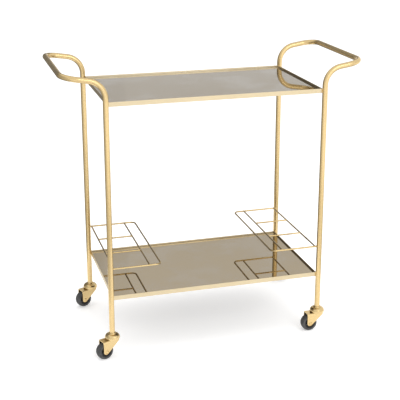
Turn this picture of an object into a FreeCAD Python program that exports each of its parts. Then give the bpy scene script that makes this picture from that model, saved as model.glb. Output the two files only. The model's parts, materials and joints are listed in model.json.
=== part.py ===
"""Bar cart on wheels: two bent-tube end frames, two mirrored trays, two bottle racks, four swivel casters.

Millimetres, +Z up. The origin is on the floor, at the centre of the cart's footprint.
X runs along the cart from one push handle to the other, and Y from the front to the back.
"""
import FreeCAD, Part
import math
import os

# ---------------------------------------------------------------- driving dimensions
# End frames
leg_spacing_x = 646.0          # between the leg axes, along the cart
leg_spacing_y = 374.0          # between the leg axes, across the cart
tube_diameter = 16.0
tube_wall = 1.2
leg_bottom_z = 76.0            # height of the cut end of each leg
handle_bend_z = 774.0          # where the leg starts to bend outwards
handle_bend_radius = 54.0
handle_rise_deg = 9.0          # slope of the handle arms above the horizontal
handle_reach = 117.5           # from the leg axis out to the grip axis
handle_corner_radius = 46.0

# Trays
lower_tray_z = 175.0           # underside of the lower rails
upper_tray_z = 751.0           # underside of the upper rails
rail_height = 13.0
rail_thickness = 1.5
rail_edge_radius = 0.4         # long edges, eased
rail_flange = 12.0             # width of the ledge under the glass
rail_inset_y = 3.0             # long rails' outer face, inboard of the leg axes
rail_inset_x = 5.7             # short rails' outer face, inboard of the leg axes
rail_root = 5.0                # where a long rail's end starts, from the leg axis
glass_thickness = 5.0
glass_gap = 1.0                # between the glass edge and the rails
glass_arris = 0.8
pad_thickness = 1.0
pad_radius = 4.0
pad_end_margin = 40.0          # from the glass corner to the first pad
pads_per_long_rail = 4

# Bottle racks
rack_z = 272.0                 # centre of the wires
wire_diameter = 5.0            # outer wire
rail_wire_diameter = 4.8       # inner and back rails, seated in copes on the outer wire
divider_wire_diameter = 4.6    # dividers, seated in copes on the rails
rack_inset_y = 5.0             # rack arms, inboard of the leg axes
rack_depth = 152.0             # from the leg axes in to the outer wire
rack_inner_offset = 34.3       # from the outer wire to the inner rail
rack_back_gap = 0.3            # between a leg and the back rail
rack_corner_radius = 15.0
rack_slots = 3
wire_root = 2.0                # where an arm starts, from the leg axis

# Leg inserts
insert_depth = 24.0
insert_flange = 2.0

# Casters
wheel_radius = 25.0
tyre_width = 22.0
tyre_inner_radius = 17.0
tyre_shoulder = 2.4            # how far the tread's edge falls below its crown
groove_offset = 4.6            # tread grooves, either side of the middle
groove_width = 1.2
groove_depth = 0.8
hub_width = 17.0
hub_web = 7.0
hub_rim = 3.0
boss_radius = 6.5
axle_radius = 3.0
axle_head_radius = 5.0
axle_head_height = 1.6
caster_offset = 27.5           # from the swivel axis back to the axle
fork_width = 28.0
fork_wall = 2.0
fork_plate_top = 58.0
fork_plate_radius = 20.0
fork_heel = 10.0                # plate edge, behind the axle
fork_toe = 14.0                # plate corner, ahead of the swivel axis
fork_end_radius = 7.5          # round the axle
fork_toe_drop = 4.0            # short upright edge at the plate's toe
fork_fold_radius = 2.4
stem_radius = 4.0
stem_collar_radius = 10.0
rivet_radius = 6.5
rivet_height = 3.0
dome_radius = 22.2
dome_wall = 1.5
dome_skirt = 3.0
dome_crown_radius = 10.5
dome_rim_gap = 1.2             # slit between the dome and the fork plate
dome_top_z = 72.4
race_radius = 17.0
race_thickness = 2.4
race_hub_radius = 7.0
ball_radius = 2.0
ball_circle_radius = 13.0
ball_count = 16
ball_seat = 0.6                # how deep a ball sits in each race

# Clearances
axle_clearance = 0.05
swivel_clearance = 0.06
end_clearance = 0.3
ball_clearance = 0.25

# The way each caster trails at rest, turned from the -X direction
caster_rest_deg = {
    "front_left": 20.0,
    "front_right": 4.0,
    "rear_left": 22.0,
    "rear_right": 200.0,
}

# ---------------------------------------------------------------- sizes that follow
tube_radius = tube_diameter / 2
bore_radius = tube_radius - tube_wall
wire_radius = wire_diameter / 2
rail_wire_radius = rail_wire_diameter / 2
divider_wire_radius = divider_wire_diameter / 2
leg_x = leg_spacing_x / 2
leg_y = leg_spacing_y / 2
tray_half_x = leg_x - rail_inset_x
tray_half_y = leg_y - rail_inset_y
rack_half_y = leg_y - rack_inset_y
rack_outer_x = leg_x - rack_depth
rack_inner_x = rack_outer_x + rack_inner_offset
rack_back_x = leg_x - tube_radius - rack_back_gap - rail_wire_radius
fork_plate_bottom = fork_plate_top - fork_wall
ball_z = fork_plate_top - ball_seat + ball_radius
race_bottom = ball_z + ball_radius - ball_seat

UP = FreeCAD.Vector(0, 0, 1)
SIDES = {"left": -1, "right": 1}
ENDS = {"front": -1, "rear": 1}


def vec(x, y, z):
    """A point or direction."""
    return FreeCAD.Vector(x, y, z)


def box(x_range, y_range, z_range):
    """A block between two values on each axis, given in either order."""
    low = [min(pair) for pair in (x_range, y_range, z_range)]
    size = [abs(pair[1] - pair[0]) for pair in (x_range, y_range, z_range)]
    return Part.makeBox(size[0], size[1], size[2], vec(*low))


def turned(edges, axis):
    """A solid of revolution from the edges of one closed half-section."""
    face = Part.Face(Part.Wire(edges))
    return face.revolve(vec(0, 0, 0), axis, 360)


def lines_through(points):
    """Straight edges that join the points in order."""
    return [Part.LineSegment(a, b).toShape() for a, b in zip(points, points[1:])]


def arc_through(first, middle, last):
    """A circular edge through three points."""
    return Part.Arc(first, middle, last).toShape()


def plate(points, thickness):
    """A flat plate from its outline in one level, extruded upwards."""
    face = Part.Face(Part.Wire(lines_through(points + points[:1])))
    return face.extrude(UP * thickness)


def merged(shapes):
    """One solid from pieces that share faces."""
    whole = shapes[0].fuse(shapes[1:])
    return whole.removeSplitter()


class BentRod:
    """A round rod drawn as straight runs joined by tangent bends."""

    def __init__(self, start, heading, radius):
        self.position = start
        self.heading = heading
        self.radius = radius
        self.pieces = []

    def straight(self, length):
        """Run straight ahead."""
        piece = Part.makeCylinder(self.radius, length, self.position, self.heading)
        self.pieces.append(piece)
        self.position = self.position + self.heading * length

    def bend(self, bend_radius, angle_deg, towards):
        """Turn through an angle, towards a direction square to the heading."""
        angle = math.radians(angle_deg)
        centre = self.position + towards * bend_radius
        circle = Part.makeCircle(self.radius, self.position, self.heading)
        disc = Part.Face(Part.Wire([circle]))
        self.pieces.append(disc.revolve(centre, self.heading.cross(towards), angle_deg))
        ahead = self.heading * math.sin(angle)
        self.position = centre + ahead * bend_radius - towards * (bend_radius * math.cos(angle))
        self.heading = self.heading * math.cos(angle) + towards * math.sin(angle)

    def solid(self):
        """The whole rod."""
        return merged(self.pieces)


# ---------------------------------------------------------------- end frames
def end_frame_rod(side, radius):
    """One end frame's centre line as a rod: leg, handle loop and second leg."""
    rise = math.radians(handle_rise_deg)
    outwards = vec(side * math.cos(rise), 0, math.sin(rise))
    inwards_and_down = vec(side * math.sin(rise), 0, -math.cos(rise))
    leg_run = handle_bend_z - leg_bottom_z
    bend_reach = handle_bend_radius * (1 - math.sin(rise))
    arm_run = (handle_reach - bend_reach) / math.cos(rise) - handle_corner_radius
    rod = BentRod(vec(side * leg_x, leg_y, leg_bottom_z), UP, radius)
    rod.straight(leg_run)
    rod.bend(handle_bend_radius, 90 - handle_rise_deg, vec(side, 0, 0))
    rod.straight(arm_run)
    rod.bend(handle_corner_radius, 90, vec(0, -1, 0))
    rod.straight(leg_spacing_y - 2 * handle_corner_radius)
    rod.bend(handle_corner_radius, 90, outwards * -1)
    rod.straight(arm_run)
    rod.bend(handle_bend_radius, 90 - handle_rise_deg, inwards_and_down)
    rod.straight(leg_run)
    return rod.solid()


def end_frame(side):
    """One end frame: a single bent tube, open at both feet."""
    return end_frame_rod(side, tube_radius).cut(end_frame_rod(side, bore_radius))


def leg_cylinders(side):
    """The outside of one end's two legs as plain rods, for coping what is welded to them."""
    height = handle_bend_z - leg_bottom_z
    legs = []
    for end in ENDS.values():
        foot = vec(side * leg_x, end * leg_y, leg_bottom_z)
        legs.append(Part.makeCylinder(tube_radius, height, foot, UP))
    return legs


def leg_inserts():
    """Threaded plugs pressed into the four feet, each with a flange against the tube's end."""
    plugs = []
    for side in SIDES.values():
        for end in ENDS.values():
            foot = vec(side * leg_x, end * leg_y, leg_bottom_z - insert_flange)
            flange = Part.makeCylinder(tube_radius, insert_flange, foot, UP)
            plug = Part.makeCylinder(bore_radius, insert_flange + insert_depth, foot, UP)
            thread = Part.makeCylinder(stem_radius, insert_flange + insert_depth, foot, UP)
            plugs.append(merged([flange, plug]).cut(thread))
    return Part.makeCompound(plugs)


# ---------------------------------------------------------------- trays
def eased(web, outer, rail_z):
    """A rail's upright web with its two top edges and its outer bottom edge rounded."""
    chosen = []
    for edge in web.Edges:
        middle = edge.CenterOfMass
        on_top = abs(middle.z - rail_z - rail_height) < 0.01
        on_outer_bottom = abs(middle.z - rail_z) < 0.01 and min(
            abs(middle.x - outer), abs(middle.y - outer)) < 0.01
        if edge.Length > 10 * rail_thickness and (on_top or on_outer_bottom):
            chosen.append(edge)
    return web.makeFillet(rail_edge_radius, chosen)


def long_rail(end, rail_z):
    """A front or rear rail: upright web from leg to leg, and a mitred ledge under the glass."""
    outer = end * tray_half_y
    inner = end * (tray_half_y - rail_thickness)
    ledge = end * (tray_half_y - rail_flange)
    root = leg_x - rail_root
    web = eased(box((-root, root), (outer, inner), (rail_z, rail_z + rail_height)), outer, rail_z)
    near = tray_half_x - rail_thickness
    far = tray_half_x - rail_flange
    outline = [vec(-near, inner, rail_z), vec(near, inner, rail_z),
               vec(far, ledge, rail_z), vec(-far, ledge, rail_z)]
    rail = merged([web, plate(outline, rail_thickness)])
    for side in SIDES.values():
        rail = rail.cut(leg_cylinders(side))
    return rail


def short_rail(side, rail_z):
    """A left or right rail, between the long ones, notched round the legs."""
    outer = side * tray_half_x
    inner = side * (tray_half_x - rail_thickness)
    ledge = side * (tray_half_x - rail_flange)
    near = tray_half_y - rail_thickness
    far = tray_half_y - rail_flange
    web = eased(box((outer, inner), (-near, near), (rail_z, rail_z + rail_height)), outer, rail_z)
    outline = [vec(inner, -near, rail_z), vec(inner, near, rail_z),
               vec(ledge, far, rail_z), vec(ledge, -far, rail_z)]
    rail = merged([web, plate(outline, rail_thickness)])
    return rail.cut(leg_cylinders(side))


def mirror(rail_z):
    """A sheet of mirror glass with ground edges."""
    half_x = tray_half_x - rail_thickness - glass_gap
    half_y = tray_half_y - rail_thickness - glass_gap
    bottom = rail_z + rail_thickness + pad_thickness
    sheet = box((-half_x, half_x), (-half_y, half_y), (bottom, bottom + glass_thickness))
    return sheet.makeChamfer(glass_arris, sheet.Edges)


def mirror_pads(rail_z):
    """Clear bumpers between the glass and the long rails' ledges."""
    reach = tray_half_x - rail_flange - pad_end_margin
    line_y = tray_half_y - (rail_thickness + rail_flange) / 2
    bottom = rail_z + rail_thickness
    pads = []
    for index in range(pads_per_long_rail):
        x = -reach + 2 * reach * index / (pads_per_long_rail - 1)
        for end in ENDS.values():
            pads.append(Part.makeCylinder(pad_radius, pad_thickness, vec(x, end * line_y, bottom), UP))
    return Part.makeCompound(pads)


# ---------------------------------------------------------------- bottle racks
def rack_outer_wire(side):
    """The U-shaped wire: both arms and the long front, with its roots coped to the legs."""
    arm_run = rack_depth - rack_corner_radius - wire_root
    rod = BentRod(vec(side * (leg_x - wire_root), rack_half_y, rack_z), vec(-side, 0, 0), wire_radius)
    rod.straight(arm_run)
    rod.bend(rack_corner_radius, 90, vec(0, -1, 0))
    rod.straight(2 * (rack_half_y - rack_corner_radius))
    rod.bend(rack_corner_radius, 90, vec(side, 0, 0))
    rod.straight(arm_run)
    return rod.solid().cut(leg_cylinders(side))


def rack_cross_wire(side, x, outer_wire):
    """A straight wire across the rack at one x, with its ends coped to the arms."""
    start = vec(side * x, -rack_half_y, rack_z)
    wire = Part.makeCylinder(rail_wire_radius, 2 * rack_half_y, start, vec(0, 1, 0))
    return largest_solid(wire.cut(outer_wire))


def rack_dividers(side, inner_rail, back_rail):
    """Short wires between the inner and back rails that part the bottle places."""
    wires = []
    run = rack_back_x - rack_inner_x
    for index in range(1, rack_slots):
        y = -rack_half_y + 2 * rack_half_y * index / rack_slots
        start = vec(side * rack_inner_x, y, rack_z)
        wire = Part.makeCylinder(divider_wire_radius, run, start, vec(side, 0, 0))
        wires.append(largest_solid(wire.cut([inner_rail, back_rail])))
    return Part.makeCompound(wires)


def largest_solid(shape):
    """The biggest solid left after a cut."""
    return max(shape.Solids, key=lambda solid: solid.Volume)


# ---------------------------------------------------------------- casters
# Each caster piece is drawn at its own swivel axis, trailing along -X, and then put in place.
AXLE_LINE = vec(0, 1, 0)


def caster_stem():
    """Threaded stem, collar and king pin in one, riveted over below the fork's plate."""
    rivet_top = fork_plate_bottom - end_clearance
    base = rivet_top - rivet_height
    stud_top = leg_bottom_z + insert_depth
    pin = Part.makeCylinder(stem_radius, stud_top - rivet_top, vec(0, 0, rivet_top), UP)
    head = Part.makeCone(rivet_radius - rivet_height / 2, rivet_radius, rivet_height, vec(0, 0, base), UP)
    collar_height = leg_bottom_z - insert_flange - dome_top_z
    collar = Part.makeCylinder(stem_collar_radius, collar_height, vec(0, 0, dome_top_z), UP)
    return merged([pin, head, collar])


def caster_dome():
    """Spun cap over the ball race, open below."""
    rim = fork_plate_top + dome_rim_gap
    shoulder = rim + dome_skirt
    rise = dome_top_z - shoulder
    run = dome_radius - dome_crown_radius
    bulge = math.sin(math.radians(45))
    outer_mid = vec(dome_crown_radius + run * bulge, 0, shoulder + rise * bulge)
    inner_mid = outer_mid - vec(dome_wall * bulge, 0, dome_wall * bulge)
    inner_top = dome_top_z - dome_wall
    inner_radius = dome_radius - dome_wall
    edges = lines_through([vec(inner_radius, 0, shoulder), vec(inner_radius, 0, rim),
                           vec(dome_radius, 0, rim), vec(dome_radius, 0, shoulder)])
    edges.append(arc_through(vec(dome_radius, 0, shoulder), outer_mid, vec(dome_crown_radius, 0, dome_top_z)))
    edges += lines_through([vec(dome_crown_radius, 0, dome_top_z), vec(stem_radius, 0, dome_top_z),
                            vec(stem_radius, 0, inner_top), vec(dome_crown_radius, 0, inner_top)])
    edges.append(arc_through(vec(dome_crown_radius, 0, inner_top), inner_mid, vec(inner_radius, 0, shoulder)))
    return turned(edges, UP)


def caster_race():
    """Upper ball race on the stem, held up against the dome."""
    top = dome_top_z - dome_wall
    washer = Part.makeCylinder(race_radius, race_thickness, vec(0, 0, race_bottom), UP)
    hub = Part.makeCylinder(race_hub_radius, top - race_bottom, vec(0, 0, race_bottom), UP)
    pin_hole = Part.makeCylinder(stem_radius, top - race_bottom, vec(0, 0, race_bottom), UP)
    track = Part.makeTorus(ball_circle_radius, ball_radius + ball_clearance, vec(0, 0, ball_z), UP)
    return merged([washer, hub]).cut([pin_hole, track])


def caster_balls():
    """The ring of bearing balls on the fork's plate."""
    balls = []
    for index in range(ball_count):
        angle = 2 * math.pi * index / ball_count
        x = ball_circle_radius * math.cos(angle)
        y = ball_circle_radius * math.sin(angle)
        balls.append(Part.makeSphere(ball_radius, vec(x, y, ball_z)))
    return Part.makeCompound(balls)


def fork_side_outline():
    """The fork's side view as a face in the XZ plane, spanning its outer faces' shape."""
    heel = -caster_offset - fork_heel
    toe_z = fork_plate_bottom - fork_toe_drop
    axle = vec(-caster_offset, 0, wheel_radius)
    toe = vec(fork_toe, 0, toe_z)
    gap = toe - axle
    reach = gap.Length
    slope = math.atan2(gap.z, gap.x) - math.asin(fork_end_radius / reach)
    touch = axle + vec(math.sin(slope), 0, -math.cos(slope)) * fork_end_radius
    low = axle - vec(0, 0, fork_end_radius)
    back = vec(heel, 0, wheel_radius)
    back_drop = vec(heel + fork_heel * (1 - math.cos(math.radians(45))), 0,
                    wheel_radius - fork_end_radius * math.sin(math.radians(45)))
    middle_angle = (slope - math.pi / 2 - math.pi / 2) / 2
    middle = axle + vec(math.cos(middle_angle), 0, math.sin(middle_angle)) * fork_end_radius
    edges = lines_through([touch, toe, vec(fork_toe, 0, fork_plate_top),
                           vec(heel, 0, fork_plate_top), back])
    edges.append(arc_through(back, back_drop, low))
    edges.append(arc_through(low, middle, touch))
    return Part.Face(Part.Wire(edges))


def caster_fork():
    """Pressed steel fork: top plate, two cheeks, a round pad for the balls, and its holes."""
    half = fork_width / 2
    inner_half = half - fork_wall
    outline = fork_side_outline()
    outline.translate(vec(0, -half, 0))
    block = outline.extrude(vec(0, fork_width, 0))
    folds = [edge for edge in block.Edges if is_fold(edge, half)]
    block = block.makeFillet(fork_fold_radius, folds)
    span = caster_offset + fork_heel + fork_toe
    slot = box((-span, span), (-inner_half, inner_half), (0, fork_plate_bottom))
    pad = Part.makeCylinder(fork_plate_radius, fork_wall, vec(0, 0, fork_plate_bottom), UP)
    body = merged([block.cut(slot), pad])
    pin_hole = Part.makeCylinder(stem_radius + swivel_clearance, fork_wall, vec(0, 0, fork_plate_bottom), UP)
    axle_start = vec(-caster_offset, -half, wheel_radius)
    axle_hole = Part.makeCylinder(axle_radius, fork_width, axle_start, AXLE_LINE)
    track = Part.makeTorus(ball_circle_radius, ball_radius, vec(0, 0, ball_z), UP)
    return body.cut([pin_hole, axle_hole, track])


def is_fold(edge, half):
    """Whether an edge is one of the two long folds between the plate and a cheek."""
    bounds = edge.BoundBox
    level = abs(bounds.ZMin - fork_plate_top) < 1e-6 and abs(bounds.ZMax - fork_plate_top) < 1e-6
    along = bounds.YLength < 1e-6 and abs(abs(bounds.YMin) - half) < 1e-6
    return level and along


def caster_axle():
    """Axle rivet through both cheeks, with a coned head at each end."""
    half = fork_width / 2
    start = vec(-caster_offset, -half, wheel_radius)
    pin = Part.makeCylinder(axle_radius, fork_width, start, AXLE_LINE)
    heads = []
    for end in ENDS.values():
        seat = vec(-caster_offset, end * half, wheel_radius)
        tip_radius = axle_head_radius - axle_head_height
        heads.append(Part.makeCone(axle_head_radius, tip_radius, axle_head_height, seat, vec(0, end, 0)))
    return merged([pin] + heads)


def on_axle(shape):
    """A wheel piece drawn about the Y axis at the origin, moved to the axle."""
    return shape.translated(vec(-caster_offset, 0, wheel_radius))


def caster_hub():
    """Wheel centre: rim, thin web and a boss that runs between the fork's cheeks."""
    boss_half = fork_width / 2 - fork_wall - end_clearance
    rim_inner = tyre_inner_radius - hub_rim
    hole = axle_radius + axle_clearance
    half = hub_width / 2
    web = hub_web / 2
    upper = [vec(hole, 0, 0), vec(hole, boss_half, 0), vec(boss_radius, boss_half, 0), vec(boss_radius, web, 0),
             vec(rim_inner, web, 0), vec(rim_inner, half, 0), vec(tyre_inner_radius, half, 0),
             vec(tyre_inner_radius, 0, 0)]
    lower = [vec(point.x, -point.y, 0) for point in reversed(upper[1:-1])]
    points = upper + lower
    return on_axle(turned(lines_through(points + points[:1]), AXLE_LINE))


def caster_tyre():
    """Crowned rubber tyre with two grooves round its tread."""
    half = tyre_width / 2
    edge_radius = wheel_radius - tyre_shoulder
    inner = tyre_inner_radius
    edges = [arc_through(vec(edge_radius, -half, 0), vec(wheel_radius, 0, 0), vec(edge_radius, half, 0))]
    edges += lines_through([vec(edge_radius, half, 0), vec(inner, half, 0),
                            vec(inner, -half, 0), vec(edge_radius, -half, 0)])
    tyre = turned(edges, AXLE_LINE)
    for end in ENDS.values():
        start = vec(0, end * groove_offset - groove_width / 2, 0)
        outside = Part.makeCylinder(wheel_radius, groove_width, start, AXLE_LINE)
        inside = Part.makeCylinder(wheel_radius - groove_depth, groove_width, start, AXLE_LINE)
        tyre = tyre.cut(outside.cut(inside))
    return on_axle(tyre)


CASTER_PIECES = {
    "stem": caster_stem,
    "dome": caster_dome,
    "race": caster_race,
    "balls": caster_balls,
    "fork": caster_fork,
    "axle": caster_axle,
    "hub": caster_hub,
    "tyre": caster_tyre,
}


def placed_caster(shape, side, end, turn_deg):
    """A caster piece turned to its rest angle and moved under its leg."""
    copy = shape.copy()
    copy.rotate(vec(0, 0, 0), UP, turn_deg)
    copy.translate(vec(side * leg_x, end * leg_y, 0))
    return copy


# ---------------------------------------------------------------- the whole cart
def tray_nodes(name, rail_z):
    """Rails, glass and bumpers of one tray."""
    nodes = {}
    for end_name, end in ENDS.items():
        nodes[f"{name}_{end_name}_rail"] = long_rail(end, rail_z)
    for side_name, side in SIDES.items():
        nodes[f"{name}_{side_name}_rail"] = short_rail(side, rail_z)
    nodes[f"{name}_mirror"] = mirror(rail_z)
    nodes[f"{name}_mirror_pads"] = mirror_pads(rail_z)
    return nodes


def rack_nodes(name, side):
    """The wires of one bottle rack."""
    outer = rack_outer_wire(side)
    inner = rack_cross_wire(side, rack_inner_x, outer)
    back = rack_cross_wire(side, rack_back_x, outer)
    return {
        f"{name}_rack_outer_wire": outer,
        f"{name}_rack_inner_rail": inner,
        f"{name}_rack_back_rail": back,
        f"{name}_rack_dividers": rack_dividers(side, inner, back),
    }


def caster_nodes():
    """All four casters."""
    nodes = {}
    for piece_name, build in CASTER_PIECES.items():
        shape = build()
        for end_name, end in ENDS.items():
            for side_name, side in SIDES.items():
                corner = f"{end_name}_{side_name}"
                node = f"{corner}_caster_{piece_name}"
                nodes[node] = placed_caster(shape, side, end, caster_rest_deg[corner])
    return nodes


def cart_nodes():
    """Every node of the cart, by name."""
    nodes = {"leg_inserts": leg_inserts()}
    for side_name, side in SIDES.items():
        nodes[f"{side_name}_end_frame"] = end_frame(side)
        nodes.update(rack_nodes(side_name, side))
    nodes.update(tray_nodes("lower_tray", lower_tray_z))
    nodes.update(tray_nodes("upper_tray", upper_tray_z))
    nodes.update(caster_nodes())
    return nodes


os.makedirs("parts", exist_ok=True)
for node_name, node_shape in cart_nodes().items():
    if len(node_shape.Solids) == 1:
        node_shape = node_shape.Solids[0]
    node_shape.exportStep(os.path.join("parts", node_name + ".step"))
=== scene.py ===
"""Looks of a bar cart on wheels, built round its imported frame, in metres.

The cart has two bent-tube end frames, two mirrored trays, two wire bottle racks and four swivel casters.
"""
import json
import logging
import math
from dataclasses import dataclass, field
from enum import Enum

import bmesh
import bpy
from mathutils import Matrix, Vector


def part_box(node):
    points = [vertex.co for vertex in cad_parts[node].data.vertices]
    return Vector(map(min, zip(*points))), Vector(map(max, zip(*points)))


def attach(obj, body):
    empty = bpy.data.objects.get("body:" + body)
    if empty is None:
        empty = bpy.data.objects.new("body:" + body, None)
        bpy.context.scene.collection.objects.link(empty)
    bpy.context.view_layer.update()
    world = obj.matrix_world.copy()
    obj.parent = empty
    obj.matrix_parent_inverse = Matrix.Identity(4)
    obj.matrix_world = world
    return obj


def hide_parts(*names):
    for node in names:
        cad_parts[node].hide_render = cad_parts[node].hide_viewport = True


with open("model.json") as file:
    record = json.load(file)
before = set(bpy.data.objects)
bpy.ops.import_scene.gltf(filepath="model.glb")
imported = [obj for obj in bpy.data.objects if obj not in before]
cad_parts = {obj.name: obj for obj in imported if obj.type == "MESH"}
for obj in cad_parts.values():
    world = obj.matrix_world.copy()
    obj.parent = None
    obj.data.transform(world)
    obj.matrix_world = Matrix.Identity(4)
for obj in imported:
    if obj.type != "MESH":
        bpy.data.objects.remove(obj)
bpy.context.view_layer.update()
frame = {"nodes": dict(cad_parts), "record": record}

log = logging.getLogger("bar_cart")

BODY = "frame"
MM = 0.001
CORNERS = ("front_left", "front_right", "rear_left", "rear_right")
SIDES = {"left": -1, "right": 1}
ENDS = {"front": -1, "rear": 1}
UP = Vector((0, 0, 1))
MICRON = 0.000001

Colour = tuple[float, float, float]


class Grain(Enum):
    """Which way a brushed finish runs, as the stretch of its texture along X, Y and Z."""

    NONE = (1.0, 1.0, 1.0)
    ALONG_X = (0.03, 1.0, 1.0)
    ALONG_Y = (1.0, 0.03, 1.0)
    ALONG_Z = (1.0, 1.0, 0.03)


# ---------------------------------------------------------------- materials
class NodeBoard:
    """A material's node tree with short ways to add and join nodes."""

    def __init__(self, name: str) -> None:
        """Start a material with only its output and a Principled shader.

        Args:
            name: the material's name.
        """
        self.material = bpy.data.materials.new(name)
        self.material.use_nodes = True
        self.tree = self.material.node_tree
        self.shader = self.tree.nodes["Principled BSDF"]

    def add(self, kind: str, **settings: object) -> bpy.types.Node:
        """Add a node and set its properties.

        Args:
            kind: the node's type, such as "ShaderNodeTexNoise".
            **settings: properties of the node, by name.

        Returns:
            The new node.
        """
        node = self.tree.nodes.new(kind)
        for name, value in settings.items():
            setattr(node, name, value)
        return node

    def join(self, source: bpy.types.NodeSocket, target: bpy.types.NodeSocket) -> None:
        """Link an output to an input."""
        self.tree.links.new(source, target)

    def set(self, **values: object) -> None:
        """Set uniform values on the shader's own sockets.

        Args:
            **values: socket names with spaces written as underscores.
        """
        for name, value in values.items():
            self.shader.inputs[name.replace("_", " ")].default_value = value

    def place(self, stretch: tuple[float, float, float] = (1.0, 1.0, 1.0)) -> bpy.types.NodeSocket:
        """The point on the piece, in metres, with each axis multiplied.

        Args:
            stretch: the factor on X, Y and Z.

        Returns:
            A vector output.
        """
        coordinates = self.add("ShaderNodeTexCoord")
        mapping = self.add("ShaderNodeMapping")
        mapping.inputs["Scale"].default_value = stretch
        self.join(coordinates.outputs["Object"], mapping.inputs["Vector"])
        return mapping.outputs["Vector"]

    def noise(self, place: bpy.types.NodeSocket, scale: float, detail: float = 4.0,
              rough: float = 0.5) -> bpy.types.NodeSocket:
        """A noise value from 0 to 1.

        Args:
            place: the point to read it at.
            scale: ripples per metre.
            detail: number of octaves.
            rough: strength of the finer octaves.

        Returns:
            A value output.
        """
        node = self.add("ShaderNodeTexNoise")
        node.inputs["Scale"].default_value = scale
        node.inputs["Detail"].default_value = detail
        node.inputs["Roughness"].default_value = rough
        self.join(place, node.inputs["Vector"])
        return node.outputs["Fac"]

    def ranged(self, value: bpy.types.NodeSocket, low: float, high: float, from_low: float = 0.3,
               from_high: float = 0.7) -> bpy.types.NodeSocket:
        """A value carried from one range to another, and held inside it.

        Args:
            value: the value to carry.
            low: result at from_low.
            high: result at from_high.
            from_low: low end of the value's range.
            from_high: high end of the value's range.

        Returns:
            A value output.
        """
        node = self.add("ShaderNodeMapRange")
        node.inputs["From Min"].default_value = from_low
        node.inputs["From Max"].default_value = from_high
        node.inputs["To Min"].default_value = low
        node.inputs["To Max"].default_value = high
        self.join(value, node.inputs["Value"])
        return node.outputs["Result"]

    def blend(self, share: bpy.types.NodeSocket, first: Colour, second: Colour) -> bpy.types.NodeSocket:
        """A colour between two by a share.

        Args:
            share: 0 gives the first colour and 1 the second.
            first: linear colour.
            second: linear colour.

        Returns:
            A colour output.
        """
        node = self.add("ShaderNodeMix", data_type="RGBA")
        node.inputs["A"].default_value = (*first, 1.0)
        node.inputs["B"].default_value = (*second, 1.0)
        self.join(share, node.inputs["Factor"])
        return node.outputs["Result"]

    def combine(self, operation: str, first: bpy.types.NodeSocket,
                second: "bpy.types.NodeSocket | float") -> bpy.types.NodeSocket:
        """Arithmetic on two values.

        Args:
            operation: a Math node operation, such as "ADD".
            first: the first value.
            second: the second value, or a number.

        Returns:
            A value output.
        """
        node = self.add("ShaderNodeMath", operation=operation)
        self.join(first, node.inputs[0])
        if isinstance(second, (int, float)):
            node.inputs[1].default_value = second
        else:
            self.join(second, node.inputs[1])
        return node.outputs["Value"]

    def bump(self, height: bpy.types.NodeSocket, depth: float, strength: float = 1.0) -> None:
        """Bump the shader's normal by a height.

        Args:
            height: value from 0 to 1.
            depth: how high a 1 stands, in metres.
            strength: share of the effect.
        """
        node = self.add("ShaderNodeBump")
        node.inputs["Distance"].default_value = depth
        node.inputs["Strength"].default_value = strength
        self.join(height, node.inputs["Height"])
        self.join(node.outputs["Normal"], self.shader.inputs["Normal"])


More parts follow.
